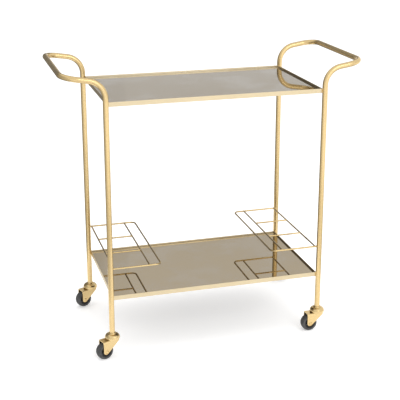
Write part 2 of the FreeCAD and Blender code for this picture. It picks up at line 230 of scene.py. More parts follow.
@dataclass(frozen=True)
class BrassFinish:
    """Satin electroplated brass with fine brushing, hairline scratches and faint tarnish."""

    name: str
    tint: Colour = (0.76, 0.575, 0.295)
    tarnish: Colour = (0.66, 0.475, 0.215)
    roughness: float = 0.24
    roughness_spread: float = 0.07
    grain: Grain = Grain.NONE
    waviness: float = 0.0
    # Painted shade: wire within a given reach of the cart's middle along X takes a darker tint, with a frayed
    # edge.
    painted_shade_reach: float = 0.0
    painted_shade_tint: Colour = (0.41, 0.305, 0.155)
    painted_shade_edge: float = 10 * MM
    stroke_depth: float = 20 * MICRON

    def material(self) -> bpy.types.Material:
        """Build the material.

        Returns:
            The new material.
        """
        board = NodeBoard(self.name)
        board.set(Metallic=1.0)
        plain = board.place()
        brushed = board.place(self.grain.value)
        cloud = board.noise(plain, 9.0, 3.0)
        fleck = board.noise(plain, 170.0, 5.0, 0.6)
        share = board.ranged(board.combine("MULTIPLY", cloud, fleck), 0.05, 0.6, 0.12, 0.50)
        colour = board.blend(share, self.tint, self.tarnish)
        # Painted shade on the wire near the cart's middle, when a reach is given.
        if self.painted_shade_reach > 0.0:
            colour = self.paint_shade(board, plain, fleck, colour)
        board.join(colour, board.shader.inputs["Base Color"])
        stroke = board.noise(brushed, 1400.0, 4.0, 0.7)
        smear = board.noise(plain, 24.0, 6.0, 0.65)
        spread = board.combine("ADD", board.ranged(stroke, 0.0, self.roughness_spread),
                               board.ranged(smear, 0.0, self.roughness_spread))
        board.join(board.combine("ADD", spread, self.roughness), board.shader.inputs["Roughness"])
        if self.waviness > 0.0:
            swell = board.combine("MULTIPLY", board.noise(plain, 55.0, 2.0, 0.4),
                                  self.waviness / self.stroke_depth)
            board.bump(board.combine("ADD", swell, stroke), self.stroke_depth, 0.2)
        else:
            board.bump(stroke, self.stroke_depth, 0.14)
        return board.material

    def paint_shade(self, board: NodeBoard, plain: bpy.types.NodeSocket, fleck: bpy.types.NodeSocket,
                colour: bpy.types.NodeSocket) -> bpy.types.NodeSocket:
        """Paint shade near the middle of the cart: wire within a reach of it along X takes a darker tint.

        Args:
            board: the material's board.
            plain: object coordinates.
            fleck: fine noise that breaks the edge up.
            colour: the plating's colour elsewhere.

        Returns:
            The mixed colour.
        """
        parts = board.add("ShaderNodeSeparateXYZ")
        board.join(plain, parts.inputs["Vector"])
        reach = board.combine("ABSOLUTE", parts.outputs["X"], 0.0)
        frayed = board.combine("ADD", reach, board.ranged(fleck, -2 * MM, 2 * MM))
        inside = board.ranged(frayed, 1.0, 0.0, self.painted_shade_reach, self.painted_shade_reach + self.painted_shade_edge)
        mix = board.add("ShaderNodeMix", data_type="RGBA")
        board.join(inside, mix.inputs["Factor"])
        board.join(colour, mix.inputs["A"])
        mix.inputs["B"].default_value = (*self.painted_shade_tint, 1.0)
        return mix.outputs["Result"]


@dataclass(frozen=True)
class MirrorFinish:
    """Bronze-tinted mirror glass: a tinted silver layer under a clear polished face, with light smears."""

    name: str
    tint: Colour = (0.43, 0.35, 0.23)
    smear_tint: Colour = (0.455, 0.375, 0.25)
    edge_tint: Colour = (0.30, 0.26, 0.19)

    def material(self) -> bpy.types.Material:
        """Build the material.

        Returns:
            The new material.
        """
        board = NodeBoard(self.name)
        board.set(Metallic=1.0, Coat_Weight=1.0, Coat_Roughness=0.01, Coat_IOR=1.5,
                  Specular_Tint=(*self.edge_tint, 1.0))
        plain = board.place()
        smear = board.noise(plain, 6.0, 5.0, 0.6)
        dust = board.noise(plain, 420.0, 2.0, 0.8)
        share = board.ranged(smear, 0.0, 1.0, 0.45, 0.75)
        board.join(board.blend(share, self.tint, self.smear_tint), board.shader.inputs["Base Color"])
        haze = board.combine("ADD", board.ranged(smear, 0.02, 0.06, 0.4, 0.8),
                             board.ranged(dust, 0.0, 0.03, 0.6, 0.8))
        board.join(haze, board.shader.inputs["Roughness"])
        return board.material


@dataclass(frozen=True)
class GlassEdgeFinish:
    """Ground and polished edge of bronze glass, with fine grinding marks."""

    name: str
    tint: Colour = (0.055, 0.048, 0.036)
    lighter: Colour = (0.10, 0.088, 0.066)

    def material(self) -> bpy.types.Material:
        """Build the material.

        Returns:
            The new material.
        """
        board = NodeBoard(self.name)
        board.set(IOR=1.52, Coat_Weight=0.6, Coat_Roughness=0.05)
        plain = board.place()
        streak = board.noise(board.place((1.0, 1.0, 6.0)), 700.0, 3.0, 0.6)
        cloud = board.noise(plain, 35.0, 3.0)
        board.join(board.blend(board.ranged(cloud, 0.0, 1.0), self.tint, self.lighter),
                   board.shader.inputs["Base Color"])
        board.join(board.ranged(streak, 0.12, 0.30), board.shader.inputs["Roughness"])
        board.bump(streak, 20 * MICRON, 0.4)
        return board.material


@dataclass(frozen=True)
class PaintFinish:
    """Matt back paint with roller stipple and small pinholes."""

    name: str
    tint: Colour = (0.045, 0.036, 0.03)
    worn: Colour = (0.075, 0.062, 0.05)

    def material(self) -> bpy.types.Material:
        """Build the material.

        Returns:
            The new material.
        """
        board = NodeBoard(self.name)
        plain = board.place()
        stipple = board.noise(plain, 900.0, 3.0, 0.6)
        cloud = board.noise(plain, 12.0, 4.0)
        board.join(board.blend(board.ranged(cloud, 0.0, 1.0), self.tint, self.worn),
                   board.shader.inputs["Base Color"])
        board.join(board.ranged(stipple, 0.42, 0.62), board.shader.inputs["Roughness"])
        board.bump(stipple, 80 * MICRON, 0.5)
        return board.material


@dataclass(frozen=True)
class RubberFinish:
    """Moulded rubber with a dusty bloom and fine pores."""

    name: str
    tint: Colour = (0.030, 0.030, 0.031)
    dusty: Colour = (0.085, 0.084, 0.082)
    roughness: float = 0.62

    def material(self) -> bpy.types.Material:
        """Build the material.

        Returns:
            The new material.
        """
        board = NodeBoard(self.name)
        plain = board.place()
        bloom = board.noise(plain, 110.0, 6.0, 0.65)
        pores = board.noise(plain, 2600.0, 2.0)
        board.join(board.blend(board.ranged(bloom, 0.0, 1.0, 0.35, 0.7), self.tint, self.dusty),
                   board.shader.inputs["Base Color"])
        board.join(board.ranged(pores, self.roughness - 0.08, self.roughness + 0.12),
                   board.shader.inputs["Roughness"])
        board.bump(pores, 60 * MICRON, 0.6)
        return board.material


@dataclass(frozen=True)
class PlasticFinish:
    """Injection-moulded plastic with a spark-eroded texture."""

    name: str
    tint: Colour = (0.022, 0.022, 0.023)
    lighter: Colour = (0.034, 0.034, 0.035)
    roughness: float = 0.45

    def material(self) -> bpy.types.Material:
        """Build the material.

        Returns:
            The new material.
        """
        board = NodeBoard(self.name)
        plain = board.place()
        spark = board.noise(plain, 1800.0, 3.0)
        flow = board.noise(plain, 60.0, 3.0)
        board.join(board.blend(board.ranged(flow, 0.0, 1.0), self.tint, self.lighter),
                   board.shader.inputs["Base Color"])
        board.join(board.ranged(spark, self.roughness - 0.06, self.roughness + 0.08),
                   board.shader.inputs["Roughness"])
        board.bump(spark, 30 * MICRON, 0.5)
        return board.material


@dataclass(frozen=True)
class SteelFinish:
    """Zinc-plated steel with a faint spangle and turning marks."""

    name: str
    tint: Colour = (0.55, 0.55, 0.53)
    darker: Colour = (0.42, 0.42, 0.41)
    roughness: float = 0.30
    grain: Grain = Grain.NONE

    def material(self) -> bpy.types.Material:
        """Build the material.

        Returns:
            The new material.
        """
        board = NodeBoard(self.name)
        board.set(Metallic=1.0)
        plain = board.place()
        spangle = board.noise(plain, 300.0, 3.0, 0.6)
        marks = board.noise(board.place(self.grain.value), 1600.0, 3.0, 0.7)
        board.join(board.blend(board.ranged(spangle, 0.0, 1.0), self.tint, self.darker),
                   board.shader.inputs["Base Color"])
        board.join(board.ranged(marks, self.roughness - 0.06, self.roughness + 0.12),
                   board.shader.inputs["Roughness"])
        board.bump(marks, 20 * MICRON, 0.4)
        return board.material


@dataclass(frozen=True)
class BumperFinish:
    """Clear soft bumpers, slightly milky."""

    name: str
    tint: Colour = (0.62, 0.62, 0.58)
    milky: Colour = (0.74, 0.74, 0.70)

    def material(self) -> bpy.types.Material:
        """Build the material.

        Returns:
            The new material.
        """
        board = NodeBoard(self.name)
        board.set(Subsurface_Weight=0.25, Subsurface_Scale=2 * MM)
        plain = board.place()
        cloud = board.noise(plain, 500.0, 3.0)
        board.join(board.blend(board.ranged(cloud, 0.0, 1.0), self.tint, self.milky),
                   board.shader.inputs["Base Color"])
        board.join(board.ranged(cloud, 0.22, 0.38), board.shader.inputs["Roughness"])
        return board.material


@dataclass(frozen=True)
class FloorFinish:
    """Plain pale studio floor."""

    name: str
    tint: Colour = (0.86, 0.86, 0.86)
    paler: Colour = (0.90, 0.90, 0.90)

    def material(self) -> bpy.types.Material:
        """Build the material.

        Returns:
            The new material.
        """
        board = NodeBoard(self.name)
        board.set(Roughness=0.85, Specular_IOR_Level=0.2, Emission_Color=(1.0, 1.0, 1.0, 1.0),
                  Emission_Strength=0.33)
        cloud = board.noise(board.place(), 2.0, 3.0)
        board.join(board.blend(board.ranged(cloud, 0.0, 1.0), self.tint, self.paler),
                   board.shader.inputs["Base Color"])
        return board.material


@dataclass(frozen=True)
class GlowFinish:
    """Glowing studio panel, which fades with height or from its heart to its rim."""

    name: str
    glow: float
    open_glow: float = 1.0
    fade: tuple[float, float] = (0.0, 1.0)
    heart: tuple[float, float, float] | None = None

    def material(self) -> bpy.types.Material:
        """Build the material.

        Returns:
            The new material.
        """
        board = NodeBoard(self.name)
        board.set(Base_Color=(0.0, 0.0, 0.0, 1.0), Specular_IOR_Level=0.0, Emission_Strength=self.glow,
                  Emission_Color=(1.0, 1.0, 1.0, 1.0))
        if self.heart is None:
            parts = board.add("ShaderNodeSeparateXYZ")
            board.join(board.place(), parts.inputs["Vector"])
            away = parts.outputs["Z"]
        else:
            gauge = board.add("ShaderNodeVectorMath", operation="DISTANCE")
            board.join(board.place(), gauge.inputs[0])
            gauge.inputs[1].default_value = self.heart
            away = gauge.outputs["Value"]
        faded = board.ranged(away, self.glow, self.open_glow, *self.fade)
        faded.node.interpolation_type = "SMOOTHSTEP"
        board.join(faded, board.shader.inputs["Emission Strength"])
        return board.material


@dataclass
class Finishes:
    """Every material of the cart, built once."""

    tube: bpy.types.Material = field(init=False)
    long_rail: bpy.types.Material = field(init=False)
    rear_rail: bpy.types.Material = field(init=False)
    short_rail: bpy.types.Material = field(init=False)
    wire: bpy.types.Material = field(init=False)
    pressed: bpy.types.Material = field(init=False)
    mirror: bpy.types.Material = field(init=False)
    back_paint: bpy.types.Material = field(init=False)
    tyre: bpy.types.Material = field(init=False)
    hub: bpy.types.Material = field(init=False)
    steel: bpy.types.Material = field(init=False)
    bumper: bpy.types.Material = field(init=False)
    lip_wire: bpy.types.Material = field(init=False)
    shade_painted_wire: bpy.types.Material = field(init=False)
    weld: bpy.types.Material = field(init=False)
    glass_edge: bpy.types.Material = field(init=False)

    def __post_init__(self) -> None:
        """Build the materials."""
        self.tube = BrassFinish("brass_tube", roughness=0.21, roughness_spread=0.06).material()
        pale, worn = (0.685, 0.575, 0.385), (0.62, 0.505, 0.315)
        self.long_rail = BrassFinish("brass_long_rail", pale, worn, 0.27, grain=Grain.ALONG_X).material()
        # Painted highlight: the rear rails get a paler tint than the other rails. It stands in for the bright
        # highlight along them.
        self.rear_rail = BrassFinish("brass_rear_rail_painted_highlight", (0.86, 0.765, 0.57), (0.78, 0.67, 0.47), 0.24,
                                     grain=Grain.ALONG_X).material()
        self.short_rail = BrassFinish("brass_short_rail", pale, worn, 0.27, grain=Grain.ALONG_Y).material()
        self.wire = BrassFinish("brass_wire", roughness=0.11, roughness_spread=0.04).material()
        # Painted shade: the outer wire is darkened within 176 mm of the cart's middle along X.
        self.lip_wire = BrassFinish("brass_lip_wire", roughness=0.11, roughness_spread=0.04,
                                    painted_shade_reach=176 * MM).material()
        # Painted shade: the inner and back rails, which run front to rear, get a tint about half as bright as
        # the other brass. It stands in for the dark surroundings they reflect.
        self.shade_painted_wire = BrassFinish("brass_wire_painted_shade", (0.42, 0.315, 0.16), (0.34, 0.245, 0.115), 0.11,
                                     0.04).material()
        self.pressed = BrassFinish("brass_pressed", roughness=0.16, roughness_spread=0.06,
                                   waviness=1.2 * MM).material()
        self.mirror = MirrorFinish("bronze_mirror").material()
        self.back_paint = PaintFinish("mirror_back_paint").material()
        self.tyre = RubberFinish("tyre_rubber").material()
        self.hub = PlasticFinish("hub_plastic").material()
        self.steel = SteelFinish("zinc_steel").material()
        self.bumper = BumperFinish("clear_bumper").material()
        self.weld = BrassFinish("brass_weld", roughness=0.34, roughness_spread=0.1).material()
        self.glass_edge = GlassEdgeFinish("glass_edge").material()


# ---------------------------------------------------------------- making pieces
def dress(node: str, material: bpy.types.Material) -> None:
    """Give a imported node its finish.

    Args:
        node: the node's name.
        material: the finish.
    """
    piece = frame["nodes"][node]
    for place in piece.material_slots:
        place.material = material
    log.info("dressed %s with %s", node, material.name)


def middle(node: str) -> Vector:
    """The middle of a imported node's box."""
    low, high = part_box(node)
    return (Vector(low) + Vector(high)) / 2


class PieceMesh:
    """A mesh under construction, in metres, which becomes one piece that rides on a body."""

    def __init__(self, name: str) -> None:
        """Start an empty mesh.

        Args:
            name: the piece's name.
        """
        self.name = name
        self.work = bmesh.new()

    def loop(self, points: list[Vector]) -> list[bmesh.types.BMVert]:
        """Add a row of vertices, one at each point."""
        return [self.work.verts.new(point) for point in points]

    def bridge(self, first: list[bmesh.types.BMVert], second: list[bmesh.types.BMVert],
               closed: bool = True, finish: int = 0) -> None:
        """Join two rows of vertices with faces.

        Args:
            first: a row.
            second: a row of the same length.
            closed: whether the rows are rings.
            finish: the material's place.
        """
        count = len(first)
        for k in range(count if closed else count - 1):
            following = (k + 1) % count
            face = self.work.faces.new((first[k], first[following], second[following], second[k]))
            face.material_index = finish
            face.smooth = True

    def cap(self, ring: list[bmesh.types.BMVert], finish: int = 0, smooth: bool = False) -> None:
        """Close a ring with one face.

        Args:
            ring: the vertices in order.
            finish: the material's place.
            smooth: whether its edge is shaded smooth.
        """
        face = self.work.faces.new(ring)
        face.material_index = finish
        face.smooth = smooth

    def bead(self, path: list[Vector], radius: float, seed: int, closed: bool = True,
             sides: int = 8, ripple: float = 0.16) -> None:
        """Sweep a weld bead along a path, with ripples and a slightly uneven width.

        Args:
            path: points along the bead.
            radius: mean radius of the bead.
            seed: start of the ripples' phase.
            closed: whether the path is a ring.
            sides: faces round the bead.
            ripple: depth of the ripples, as a share of the radius.
        """
        count = len(path)
        rings = []
        lift = None
        for k, point in enumerate(path):
            before = path[k - 1] if closed or k > 0 else path[0]
            after = path[(k + 1) % count] if closed or k < count - 1 else path[-1]
            along = (after - before).normalized()
            if lift is None:
                lift = along.orthogonal().normalized()
            lift = (lift - along * lift.dot(along)).normalized()
            across = along.cross(lift)
            wave = math.sin(k * 2.1 + seed) + 0.6 * math.sin(k * 0.83 + 1.7 * seed)
            size = radius * (1.0 + ripple * 0.5 * wave)
            if not closed and k in (0, count - 1):
                size *= 0.45
            rings.append(self.loop([point + (lift * math.cos(t) + across * math.sin(t)) * size
                                    for t in (2 * math.pi * n / sides for n in range(sides))]))
        for k in range(count if closed else count - 1):
            self.bridge(rings[k], rings[(k + 1) % count])
        if not closed:
            self.cap(list(reversed(rings[0])), smooth=True)
            self.cap(rings[-1], smooth=True)

    def turned(self, profile: list[tuple[float, float]], centre: Vector, axis: Vector, steps: int = 48,
               finish: int = 0) -> None:
        """Turn a profile about an axis.

        Args:
            profile: (radius, height) points; a radius of 0 at an end closes that end.
            centre: origin of the heights.
            axis: direction of the heights.
            steps: faces round.
            finish: the material's place.
        """
        axis = axis.normalized()
        across = axis.orthogonal().normalized()
        other = axis.cross(across)
        rings = []
        for radius, height in profile:
            base = centre + axis * height
            if radius == 0.0:
                rings.append([self.work.verts.new(base)])
            else:
                rings.append(self.loop([base + (across * math.cos(t) + other * math.sin(t)) * radius
                                        for t in (2 * math.pi * n / steps for n in range(steps))]))
        for low, high in zip(rings, rings[1:]):
            for k in range(steps):
                ends = (low[k % len(low)], low[(k + 1) % len(low)],
                        high[(k + 1) % len(high)], high[k % len(high)])
                face = self.work.faces.new(list(dict.fromkeys(ends)))
                face.material_index = finish
                face.smooth = True

    def finish(self, body: str, slot: str, *materials: bpy.types.Material, sharp_deg: float = 40.0,
               replaces: tuple[str, ...] = ()) -> bpy.types.Object:
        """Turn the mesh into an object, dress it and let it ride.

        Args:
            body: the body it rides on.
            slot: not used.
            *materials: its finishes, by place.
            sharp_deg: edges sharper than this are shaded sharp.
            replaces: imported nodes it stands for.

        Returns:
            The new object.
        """
        bmesh.ops.recalc_face_normals(self.work, faces=self.work.faces)
        limit = math.radians(sharp_deg)
        for edge in self.work.edges:
            edge.smooth = not (edge.is_manifold and edge.calc_face_angle(0.0) > limit)
        mesh = bpy.data.meshes.new(self.name)
        self.work.to_mesh(mesh)
        self.work.free()
        for material in materials:
            mesh.materials.append(material)
        piece = bpy.data.objects.new(self.name, mesh)
        bpy.context.scene.collection.objects.link(piece)
        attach(piece, body)
        if replaces:
            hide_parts(*replaces)
        log.info("made %s, riding on %s", self.name, body)
        return piece


def saddle(meeting: Vector, along: Vector, host: Vector, radius: float, host_radius: float,
           steps: int = 20) -> list[Vector]:
    """The seam where a round wire runs square into a round rod.

    Args:
        meeting: where the wire's axis crosses the rod's axis.
        along: direction from the rod's axis out along the wire.
        host: direction of the rod's axis.
        radius: the wire's radius.
        host_radius: the rod's radius.
        steps: number of points.

    Returns:
        Points round the seam.
    """
    side = host.cross(along)
    points = []
    for k in range(steps):
        turn = 2 * math.pi * k / steps
        sideways = radius * math.sin(turn)
        depth = math.sqrt(max(host_radius ** 2 - sideways ** 2, 0.0))
        points.append(meeting + along * depth + host * (radius * math.cos(turn)) + side * sideways)
    return points


# ---------------------------------------------------------------- sub-assemblies
@dataclass
class EndFrames:
    """The two bent-tube end frames and the inserts in their feet."""

    finishes: Finishes

    def build(self) -> None:
        """Dress both end frames."""
        for side in SIDES:
            dress(f"{side}_end_frame", self.finishes.tube)
        dress("leg_inserts", self.finishes.steel)

    def leg_line(self, side: str, end: str) -> Vector:
        """The foot of one leg's axis.

        Args:
            side: left or right.
            end: front or rear.

        Returns:
            The point on the floor below the leg.
        """
        collar = middle(f"{end}_{side}_caster_stem")
        return Vector((collar.x, collar.y, 0.0))


@dataclass
class Tray:
    """One tray: four rails, their welds, the mirror glass and its bumpers."""

    name: str
    frames: EndFrames
    finishes: Finishes
    tube_radius: float = 8 * MM
    rail_wall: float = 1.5 * MM
    arris: float = 0.8 * MM
    corner_radius: float = 1.6 * MM
    bead_radius: float = 0.75 * MM
    bead_stand_off: float = 0.1 * MM
    inside_run: float = 4.7 * MM
    corner_bead_radius: float = 0.55 * MM
    corner_run: float = 5.2 * MM

    def build(self) -> None:
        """Dress the tray, lay its glass and run its welds."""
        dress(f"{self.name}_front_rail", self.finishes.long_rail)
        dress(f"{self.name}_rear_rail", self.finishes.rear_rail)
        for side in SIDES:
            dress(f"{self.name}_{side}_rail", self.finishes.short_rail)
        dress(f"{self.name}_mirror_pads", self.finishes.bumper)
        self.glass()
        self.leg_welds()
        self.corner_welds()

    def glass(self) -> None:
        """Lay the mirror: polished arris all round, silvered face above and paint below."""
        low, high = (Vector(corner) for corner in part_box(f"{self.name}_mirror"))
        ease = self.arris
        sheet = PieceMesh(f"{self.name}_mirror_glass")
        levels = [(low.z, ease), (low.z + 0.3 * ease, 0.3 * ease), (low.z + ease, 0.0), (high.z - ease, 0.0),
                  (high.z - 0.3 * ease, 0.3 * ease), (high.z, ease)]
        rings = [sheet.loop(self.rounded(low, high, z, inset)) for z, inset in levels]
        for first, second in zip(rings, rings[1:]):
            sheet.bridge(first, second, finish=1)
        sheet.cap(list(reversed(rings[0])), finish=2)
        sheet.cap(rings[-1], finish=0)
        sheet.finish(BODY, "mirror", self.finishes.mirror, self.finishes.glass_edge, self.finishes.back_paint,
                     sharp_deg=25.0, replaces=(f"{self.name}_mirror",))

    def rounded(self, low: Vector, high: Vector, z: float, inset: float) -> list[Vector]:
        """A rectangle with small rounded corners at one height.

        Args:
            low: lowest corner of the sheet.
            high: highest corner of the sheet.
            z: the height.
            inset: how far the outline stands in from the sheet's edge.

        Returns:
            Points round the outline.
        """
        radius = self.corner_radius
        corners = [(high.x, high.y, 0), (low.x, high.y, 90), (low.x, low.y, 180), (high.x, low.y, 270)]
        steps = 5
        points = []
        for x, y, start in corners:
            centre_x = x - radius if x > 0 else x + radius
            centre_y = y - radius if y > 0 else y + radius
            for k in range(steps + 1):
                turn = math.radians(start + 90 * k / steps)
                points.append(Vector((centre_x + (radius - inset) * math.cos(turn),
                                      centre_y + (radius - inset) * math.sin(turn), z)))
        return points

    def leg_welds(self) -> None:
        """Run a bead where each long rail's end meets a leg: up its face, over its top and down inside."""
        beads = PieceMesh(f"{self.name}_leg_welds")
        for row, (end, forward) in enumerate(ENDS.items()):
            path = self.rail_end_path(end, forward)
            for column, (side, outward) in enumerate(SIDES.items()):
                foot = self.frames.leg_line(side, end)
                points = []
                for y, z in path:
                    reach = math.sqrt(self.tube_radius ** 2 - (y - foot.y) ** 2) + self.bead_stand_off
                    points.append(Vector((foot.x - outward * reach, y, z)))
                beads.bead(points, self.bead_radius, seed=3 * row + 5 * column, closed=False)
        beads.finish(BODY, "brass_rail", self.finishes.weld)

    def rail_end_path(self, end: str, forward: int) -> list[tuple[float, float]]:
        """The line that a bead follows round a long rail's end, seen from the leg.

        Args:
            end: front or rear.
            forward: -1 at the front and 1 at the rear.

        Returns:
            (y, z) points, up the outer face, over the top and down the inner face.
        """
        low, high = (Vector(corner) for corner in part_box(f"{self.name}_{end}_rail"))
        outer = low.y if forward < 0 else high.y
        inner = outer - forward * self.rail_wall
        rise_steps, fall_steps = 12, 6
        foot, head = low.z + 0.5 * MM, high.z - 0.1 * MM
        path = [(outer, foot + (head - foot) * k / rise_steps) for k in range(rise_steps + 1)]
        path.append(((outer + inner) / 2, high.z))
        start, stop = high.z - 0.2 * MM, high.z - self.inside_run
        path += [(inner, start + (stop - start) * k / fall_steps) for k in range(fall_steps + 1)]
        return path

    def corner_welds(self) -> None:
        """Run a bead up each inside corner, where a short rail meets a long one."""
        beads = PieceMesh(f"{self.name}_corner_welds")
        steps = 8
        for row, (end, forward) in enumerate(ENDS.items()):
            long_low, long_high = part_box(f"{self.name}_{end}_rail")
            inner_y = (long_low[1] if forward < 0 else long_high[1]) - forward * self.rail_wall
            for column, (side, outward) in enumerate(SIDES.items()):
                low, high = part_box(f"{self.name}_{side}_rail")
                inner_x = (low[0] if outward < 0 else high[0]) - outward * self.rail_wall
                foot, head = high[2] - self.corner_run, high[2] - 0.2 * MM
                points = [Vector((inner_x, inner_y, foot + (head - foot) * k / steps))
                          for k in range(steps + 1)]
                points.append(Vector((inner_x + outward * self.rail_wall / 2, inner_y, high[2])))
                beads.bead(points, self.corner_bead_radius, seed=7 * row + 2 * column, closed=False)
        beads.finish(BODY, "brass_rail", self.finishes.weld)


@dataclass
class BottleRack:
    """One wire bottle rack and its welds."""

    side: str
    frames: EndFrames
    finishes: Finishes
    tube_radius: float = 8 * MM
    outer_radius: float = 2.5 * MM
    rail_radius: float = 2.4 * MM
    divider_radius: float = 2.3 * MM
    bead_radius: float = 0.55 * MM
    arm_bead_radius: float = 0.8 * MM

    def build(self) -> None:
        """Dress the rack's wires and weld them; the inner and back rails get a darker tint, which is painted
        shade for the dark surroundings they reflect.
        """
        dress(f"{self.side}_rack_outer_wire", self.finishes.lip_wire)
        dress(f"{self.side}_rack_dividers", self.finishes.wire)
        # Painted shade: darker tint on the rails that run front to rear.
        for part in ("inner_rail", "back_rail"):
            dress(f"{self.side}_rack_{part}", self.finishes.shade_painted_wire)
        self.welds()

    def welds(self) -> None:
        """Run a bead round every joint between two wires and between an arm and a leg."""
        outward = SIDES[self.side]
        beads = PieceMesh(f"{self.side}_rack_welds")
        low, high = (Vector(corner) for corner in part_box(f"{self.side}_rack_outer_wire"))
        level = (low.z + high.z) / 2
        arms = {"front": low.y + self.outer_radius, "rear": high.y - self.outer_radius}
        along_x, along_y = Vector((1, 0, 0)), Vector((0, 1, 0))
        seed = 0
        for end, arm_y in arms.items():
            foot = self.frames.leg_line(self.side, end)
            seed += 1
            beads.bead(self.leg_seam(foot, Vector((foot.x, arm_y, level)), -outward * along_x),
                       self.arm_bead_radius, seed)
            for rail in ("inner_rail", "back_rail"):
                seed += 1
                crossing = Vector((middle(f"{self.side}_rack_{rail}").x, arm_y, level))
                inward = along_y if arm_y < 0 else -along_y
                beads.bead(saddle(crossing, inward, along_x, self.rail_radius, self.outer_radius),
                           self.bead_radius, seed)
        inner_x = middle(f"{self.side}_rack_inner_rail").x
        back_x = middle(f"{self.side}_rack_back_rail").x
        for divider_y in self.divider_lines():
            for rail_x, other_x in ((inner_x, back_x), (back_x, inner_x)):
                seed += 1
                inward = along_x if other_x > rail_x else -along_x
                beads.bead(saddle(Vector((rail_x, divider_y, level)), inward, along_y,
                                  self.divider_radius, self.rail_radius), self.bead_radius, seed)
        beads.finish(BODY, "brass_wire", self.finishes.weld)

    def divider_lines(self) -> list[float]:
        """The places along Y of the two dividers' axes."""
        low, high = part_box(f"{self.side}_rack_dividers")
        return [low[1] + self.divider_radius, high[1] - self.divider_radius]

    def leg_seam(self, foot: Vector, start: Vector, along: Vector, steps: int = 24) -> list[Vector]:
        """The seam where an arm, a little off a leg's axis, meets the leg.

        Args:
            foot: a point on the leg's axis.
            start: a point on the arm's axis, beside the leg's axis.
            along: direction of the arm away from the leg.
            steps: number of points.

        Returns:
            Points round the seam.
        """
        points = []
        for k in range(steps):
            turn = 2 * math.pi * k / steps
            y = start.y + self.outer_radius * math.sin(turn)
            z = start.z + self.outer_radius * math.cos(turn)
            reach = math.sqrt(max(self.tube_radius ** 2 - (y - foot.y) ** 2, 0.0))
            points.append(Vector((start.x, y, z)) + along * reach)
        return points


